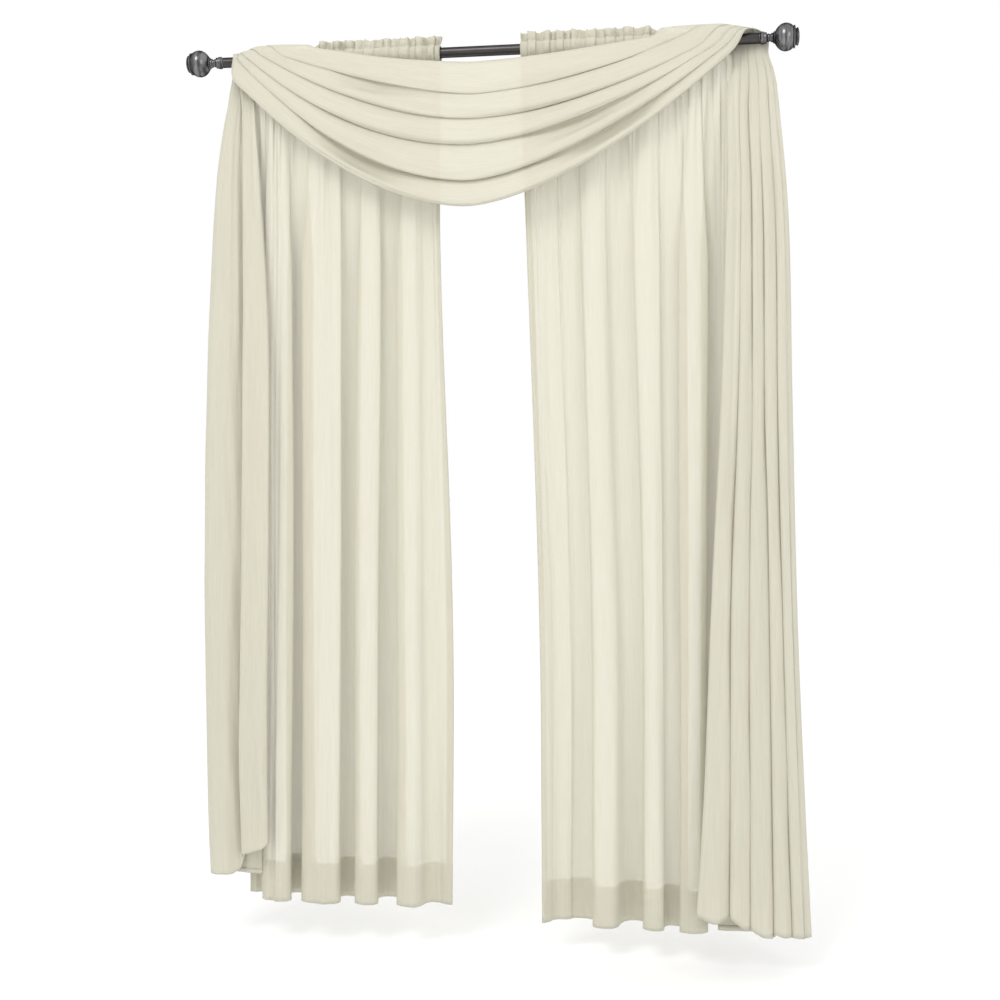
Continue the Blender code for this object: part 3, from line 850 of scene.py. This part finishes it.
# %% How the tails' hems hang
LEFT_HEM_LINE = (
    # share of the width on the face, rise above the last row
    (0.0, 0.020),
    (0.10, 0.006),
    (0.35, -0.008),
    (0.43, -0.012),
    (0.49, -0.052),
    (0.60, -0.064),
    (1.0, -0.068),
)
RIGHT_HEM_LINE = (
    # share of the width on the face, rise above the last row
    (0.0, 0.028),
    (0.14, 0.012),
    (0.19, 0.012),
    (0.29, 0.026),
    (0.41, 0.000),
    (0.48, -0.004),
    (0.58, -0.020),
    (0.66, -0.023),
    (0.69, -0.012),
    (0.77, -0.020),
    (1.0, -0.022),
)
for name, table, hem_line in (("left", LEFT_TAIL, LEFT_HEM_LINE), ("right", RIGHT_TAIL, RIGHT_HEM_LINE)):
    lowest = table[-1][0] + min(rise for _, rise in hem_line)
    print(name, "tail hangs down to", round(lowest, 3), "m")

# %% [markdown]
# ## The folds of a tail
#
# Seen from the top, a tail is one long line that goes to and fro. On the face each fold has a round
# edge that overhangs its neighbour and a side that slopes away under the next one. The spare width
# turns back at the outer edge and lies behind the face in two layers.


# %% A tail's section
TUCK = 0.016


def fold_path(edges, inner, lean):
    """A tail's section from its inner selvage: shares across, and pushes behind (+) or before (-) it.

    Each fold of the face has one round edge, which overhangs its neighbour, and one side that slopes away
    under the next fold; lean says which. Past the outer edge the spare cloth turns back and lies behind.
    """
    path = list(inner)
    for i, (near, far) in enumerate(zip(edges, edges[1:])):
        wide = far - near
        last = i == len(edges) - 2
        if lean > 0:
            path += [(near + TUCK, -0.42), (near - 0.002, -0.68), (near + 0.10 * wide, -0.92)]
            path += [(near + 0.36 * wide, -1.0), (near + 0.66 * wide, -0.90)]
            if not last:
                path += [(far - 0.12 * wide, -0.72), (far + 0.3 * TUCK, -0.50), (far + 1.6 * TUCK, -0.26)]
        else:
            if i:
                path += [(near - 1.2 * TUCK, 0.42), (near + 0.06 * wide, 0.16)]
                path += [(near + 0.22 * wide, -0.36), (near + 0.40 * wide, -0.82)]
                path.append((near + 0.64 * wide, -1.0))
            else:
                path += [(near + 0.30 * wide, -0.86), (near + 0.62 * wide, -0.98)]
            if not last:
                path += [(far - 0.10 * wide, -0.93), (far + 0.002, -0.55), (far - TUCK, -0.10)]
    path += [(0.90, -0.84), (0.972, -0.50), (1.0, 0.05), (0.975, 0.62), (0.88, 0.92), (0.70, 0.95)]
    path += [(0.48, 1.02), (0.28, 1.08), (0.19, 1.30), (0.27, 1.56)]
    path += [(0.48, 1.62), (0.72, 1.60), (0.92, 1.72)]
    return np.array(path)


LEFT_SELVAGE = ((0.035, -0.10), (0.004, -0.34), (0.03, -0.66))
RIGHT_SELVAGE = ((0.16, 1.5), (0.06, 1.3), (0.004, 0.9), (0.012, 0.3))


# %% A tail's rows
def by_length(points, s):
    """Points of a smooth path at shares s of its length."""
    fine = spline(points, np.linspace(0.0, len(points) - 1.0, 14 * len(points)))
    run = np.concatenate([[0.0], np.cumsum(np.linalg.norm(np.diff(fine, axis=0), axis=1))])
    return np.stack([np.interp(s * run[-1], run, fine[:, axis]) for axis in range(3)], axis=1)


def tail_rib(row, side, inner, s):
    """One row of a tail's points."""
    z, inner_x, outer_x, inner_y, outer_y, depth, edges = row
    path = fold_path(edges, inner, side)
    points = np.empty((len(path), 3))
    points[:, 0] = mix(inner_x, outer_x, path[:, 0])
    points[:, 1] = mix(inner_y, outer_y, path[:, 0]) + 0.5 * depth * path[:, 1]
    points[:, 2] = z
    rib = by_length(points, s)
    rib[:, 0] *= side
    return rib


def tail_ribs(table, side, inner, hem_line, s):
    """All rows of a tail from the rod down, the last one along the line of its hem."""
    ribs = [tail_rib(row, side, inner, s) for row in table]
    across = (ribs[-1][:, 0] * side - table[-1][1]) / (table[-1][2] - table[-1][1])
    across[int(np.argmax(across)) :] = 1.0
    ribs[-1][:, 2] += np.interp(across, *zip(*hem_line))
    return ribs


# %% [markdown]
# ## Making the scarf
#
# The sections are read in the order in which the cloth runs: up the left tail, over the rod, along the
# swag, over the rod again and down the right tail. Across, the columns lie evenly between the two long
# hems.

# %% Sections along the scarf
SCARF_WIDTH = 0.66
SCARF_HEM = 0.011
SCARF_COLUMNS = 186

edge = SCARF_HEM / SCARF_WIDTH
between_hems = np.linspace(edge, 1.0 - edge, SCARF_COLUMNS)[1:-1]
scarf_s = np.concatenate([[0.0, 0.5 * edge, edge], between_hems, [1.0 - edge, 1.0 - 0.5 * edge, 1.0]])

left_tail = tail_ribs(LEFT_TAIL, -1, LEFT_SELVAGE, LEFT_HEM_LINE, scarf_s)
right_tail = tail_ribs(RIGHT_TAIL, 1, RIGHT_SELVAGE, RIGHT_HEM_LINE, scarf_s)
left_over = [crossing_section(row, -1, left_tail[0], scarf_s) for row in LEFT_CROSSING]
right_over = [crossing_section(row, 1, right_tail[0], scarf_s) for row in RIGHT_CROSSING]
swag_places = [-u for u in SWAG_STATIONS] + [0.0] + list(reversed(SWAG_STATIONS))
swag = [swag_section(u, scarf_s) for u in swag_places]
ribs = np.array(left_tail[::-1] + left_over[::-1] + swag + right_over + right_tail)
print("sections along the scarf:", len(ribs), "with", len(scarf_s), "points each")

# %% [markdown]
# ## Rows between the sections
#
# A smooth curve through the sections gives as many rows as we like. They are spread by real distance
# and lie closer where the cloth turns over the rod. Slow noise then dents the hanging cloth a little.

# %% Rows of the scarf
ROW_STEPS = {"tail": 0.044, "turn": 0.0065, "swag": 0.0145}
HEM_STEP = SCARF_HEM / 0.3
turns = ["turn"] * (len(LEFT_CROSSING) + 1)
kinds = ["tail"] * (len(left_tail) - 1) + turns + ["swag"] * (len(swag) - 1) + turns
kinds += ["tail"] * (len(right_tail) - 1)
middle = ribs[:, len(scarf_s) // 2]
places = [0.0]
for i, kind in enumerate(kinds):
    length = np.linalg.norm(middle[i + 1] - middle[i])
    count = max(2, round(length / ROW_STEPS[kind]))
    places += [i + (k + 1) / count for k in range(count)]
places = np.array([0.0, 0.5 * HEM_STEP, HEM_STEP] + places[1:])
places = np.concatenate([places[:-1], [len(ribs) - 1 - HEM_STEP, len(ribs) - 1]])
scarf_points = spline(ribs, places)
print("rows along the scarf:", len(scarf_points))

# %% Small dents in the scarf
HANGING_DENTS, FINE_DENTS = 0.0042, 0.0024

length_along = np.linalg.norm(np.diff(scarf_points[:, len(scarf_s) // 2], axis=0), axis=1)
run = np.concatenate([[0.0], np.cumsum(length_along)])
hanging = smooth((np.abs(scarf_points[:, :, 2].mean(axis=1)) - 0.05) / 0.15)[:, None]
soft = uneven(11.0 * scarf_s[None, :], 2.2 * run[:, None], 21.0) * HANGING_DENTS * hanging
soft += uneven(30.0 * scarf_s[None, :], 4.4 * run[:, None], 27.0) * FINE_DENTS * mix(0.3, 1.0, hanging)
scarf_points[:, :, 1] += soft
print("scarf: one layer of", round(area_of(scarf_points), 3), "m2,", round(run[-1], 3), "m long")

# %% [markdown]
# ## The scarf's hems
#
# Both long edges and both ends have a narrow rolled hem. Thrown over the rod, the cloth changes faces:
# what is at the back of the swag is at the front of the tails. So the ends are turned the other way
# from the long edges, which keeps their hems out of sight.

# %% Hems of the scarf
SIDE_HEM_COLUMNS = 3
FIRST_END_ROWS, LAST_END_ROWS = 3, 2
TURNED_THE_OTHER_WAY = (-1.0, -1.0)

swag_row = int(np.argmin(np.abs(scarf_points[:, 0, 0] - SWAG_LOW_X)))
scarf_back = back_way(scarf_points, 1.0)
if scarf_back[swag_row, :, 1].mean() < 0:
    scarf_back = -scarf_back
scarf_columns = with_hems(len(scarf_s), SIDE_HEM_COLUMNS, SIDE_HEM_COLUMNS)
scarf_rows = with_hems(len(scarf_points), FIRST_END_ROWS, LAST_END_ROWS)
scarf_grid = hemmed(scarf_points, scarf_back, scarf_rows, scarf_columns, TURNED_THE_OTHER_WAY)
scarf_across = scarf_s[[i for i, _ in scarf_columns]] * SCARF_WIDTH
scarf_along = run[[i for i, _ in scarf_rows]]
scarf = cloth("scarf_voile_cloth", scarf_grid, scarf_across, scarf_along, scarf_voile)
print("scarf's grid with its hems:", scarf_grid.shape[:2])

# %% [markdown]
# ## Rod and finials
#
# The rod is a plain tube and each finial is a turned casting: a collar, a ringed neck, a slightly
# pear-shaped ball and a cap with a groove. A table of radii along the axis is all that describes such a
# piece.

# %% A finial's profile
FINIAL_PROFILE = (
    # radius, distance from the rod's end
    (0.0000, 0.0000),
    (0.0118, 0.0000),
    (0.0128, 0.0010),
    (0.0130, 0.0024),
    (0.0122, 0.0034),
    (0.0130, 0.0044),
    (0.0150, 0.0060),
    (0.0150, 0.0118),
    (0.0128, 0.0132),
    (0.0134, 0.0150),
    (0.0134, 0.0182),
    (0.0104, 0.0196),
    (0.0088, 0.0206),
    (0.0100, 0.0224),
    (0.0100, 0.0240),
    (0.0084, 0.0256),
    (0.0086, 0.0282),
    (0.0110, 0.0298),
    (0.0114, 0.0318),
    (0.0100, 0.0330),
    (0.0122, 0.0342),
    (0.0140, 0.0356),
    (0.0146, 0.0374),
    (0.0140, 0.0384),
    (0.0178, 0.0400),
    (0.0232, 0.0440),
    (0.0284, 0.0496),
    (0.0314, 0.0552),
    (0.0328, 0.0608),
    (0.0327, 0.0660),
    (0.0314, 0.0714),
    (0.0292, 0.0762),
    (0.0264, 0.0798),
    (0.0246, 0.0806),
    (0.0262, 0.0816),
    (0.0270, 0.0828),
    (0.0268, 0.0844),
    (0.0250, 0.0854),
    (0.0200, 0.0860),
    (0.0190, 0.0870),
    (0.0192, 0.0880),
    (0.0208, 0.0890),
    (0.0214, 0.0902),
    (0.0208, 0.0918),
    (0.0180, 0.0932),
    (0.0120, 0.0946),
    (0.0000, 0.0954),
)
ball_width = 2 * max(radius for radius, _ in FINIAL_PROFILE)
print("finial:", FINIAL_PROFILE[-1][1], "m long, its ball", ball_width, "m wide")

# %% [markdown]
# ## Pewter
#
# Antiqued pewter is a dark metal. A white room leaves it nothing dark to mirror, so its reflections are
# painted into its colour: noise stretched round a finial's axis, and along the rod, gives bands of a
# light and a dark tone of the same metal, a painted glint and a painted dark reflection.


# %% A dark turned metal with painted reflections
# Where the noise turns from the painted dark reflection to the painted light one.
PAINTED_REFLECTION_FROM, PAINTED_REFLECTION_BY = 0.35, 0.65


def pewter(name, colour, dark_reflection_tone, roughness, scale):
    """A dark metal with painted reflections in light and dark bands; scale is the bands' fineness along
    and across the axis.
    """
    material = bpy.data.materials.new(name)
    material.use_nodes = True
    nodes, links = material.node_tree.nodes, material.node_tree.links
    shader = nodes["Principled BSDF"]
    shader.inputs["Metallic"].default_value = 0.9
    shader.inputs["Specular Tint"].default_value = (0.12, 0.12, 0.12, 1.0)
    shader.inputs["Roughness"].default_value = roughness
    place = nodes.new("ShaderNodeTexCoord")
    rings = nodes.new("ShaderNodeMapping")
    rings.inputs["Scale"].default_value = scale
    links.new(place.outputs["Object"], rings.inputs["Vector"])
    reflection_bands = nodes.new("ShaderNodeTexNoise")
    reflection_bands.inputs["Scale"].default_value = 1.0
    reflection_bands.inputs["Detail"].default_value = 4.0
    links.new(rings.outputs["Vector"], reflection_bands.inputs["Vector"])
    # The ramp paints reflections: its dark end stands for a dark reflected band, its light end for a
    # glint.
    ramp = nodes.new("ShaderNodeValToRGB")
    ramp.color_ramp.elements[0].position = PAINTED_REFLECTION_FROM
    ramp.color_ramp.elements[0].color = (*dark_reflection_tone, 1.0)
    ramp.color_ramp.elements[1].position = PAINTED_REFLECTION_BY
    ramp.color_ramp.elements[1].color = (*colour, 1.0)
    links.new(reflection_bands.outputs["Fac"], ramp.inputs["Fac"])
    links.new(ramp.outputs["Color"], shader.inputs["Base Color"])
    return material


# The rod's faint lengthwise streaks are the same painted reflections.
rod_metal = pewter("Rod pewter", (0.082, 0.078, 0.077), (0.062, 0.058, 0.057), 0.30, (12.0, 60.0, 60.0))
# Fine rings round a finial: a painted glint and a painted dark reflected band.
painted_reflection_rings = (120.0, 18.0, 18.0)
finial_metal = pewter("Finial pewter", (0.240, 0.240, 0.246), (0.040, 0.040, 0.043), 0.27, painted_reflection_rings)
print("metals:", rod_metal.name, "and", finial_metal.name)

# %% [markdown]
# ## Turning on a lathe
#
# Spinning a profile about its axis is how such a piece is made, so that is how we make it. The lathe()
# helper takes radius and distance pairs, the place where they start and the side they run to.


# %% A lathe
TURNING_STEPS = 64
SHARP_FROM = math.radians(38)


def lathe(name, profile, start_x, side, material):
    """Spins (radius, distance) pairs about the rod's axis, from start_x outwards to that side."""
    mesh = bpy.data.meshes.new(name)
    turned = bmesh.new()
    points = [turned.verts.new((start_x + side * along, 0.0, radius)) for radius, along in profile]
    edges = [turned.edges.new(pair) for pair in zip(points, points[1:])]
    bmesh.ops.spin(
        turned,
        geom=points + edges,
        cent=(0.0, 0.0, 0.0),
        axis=(1.0, 0.0, 0.0),
        angle=2 * math.pi,
        steps=TURNING_STEPS,
        use_merge=True,
        use_duplicate=False,
    )
    bmesh.ops.remove_doubles(turned, verts=turned.verts, dist=0.00002)
    bmesh.ops.recalc_face_normals(turned, faces=turned.faces)
    turned.to_mesh(mesh)
    turned.free()
    mesh.shade_smooth()
    mesh.set_sharp_from_angle(angle=SHARP_FROM)
    mesh.materials.append(material)
    piece = bpy.data.objects.new(name, mesh)
    bpy.context.scene.collection.objects.link(piece)
    return piece


# %% Rod and finials
ROD_RADIUS = 0.0127
ROD_HALF_LENGTH = 0.662
ROD_EDGE = 0.0008
ROD_PROFILE = (
    # radius, distance from the left end
    (0.0, 0.0),
    (ROD_RADIUS - ROD_EDGE, 0.0),
    (ROD_RADIUS, ROD_EDGE),
    (ROD_RADIUS, ROD_HALF_LENGTH),
    (ROD_RADIUS, 2 * ROD_HALF_LENGTH - ROD_EDGE),
    (ROD_RADIUS - ROD_EDGE, 2 * ROD_HALF_LENGTH),
    (0.0, 2 * ROD_HALF_LENGTH),
)
rod = lathe("rod_tube", ROD_PROFILE, -ROD_HALF_LENGTH, 1, rod_metal)
finial_left = lathe("finial_left_turned", FINIAL_PROFILE, -ROD_HALF_LENGTH, -1, finial_metal)
finial_right = lathe("finial_right_turned", FINIAL_PROFILE, ROD_HALF_LENGTH, 1, finial_metal)
print("faces of the rod and of a finial:", len(rod.data.polygons), len(finial_left.data.polygons))

# %% [markdown]
# ## Putting each piece in place of its node
#
# Each piece stands for one node of the frame: it is parented to the frame's root, and the node's own mesh
# is hidden.

# %% Pieces, nodes and slots
PIECES = (
    # piece, node, slot
    (rod, "rod", "rod_pewter"),
    (finial_left, "finial_left", "finial_pewter"),
    (finial_right, "finial_right", "finial_pewter"),
    (panel_left, "panel_left", "panel_voile"),
    (panel_right, "panel_right", "panel_voile"),
    (scarf, "scarf", "scarf_voile"),
)
for piece, node, slot in PIECES:
    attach(piece, "root")
    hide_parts(node)
    print(piece.name, "stands for", node)
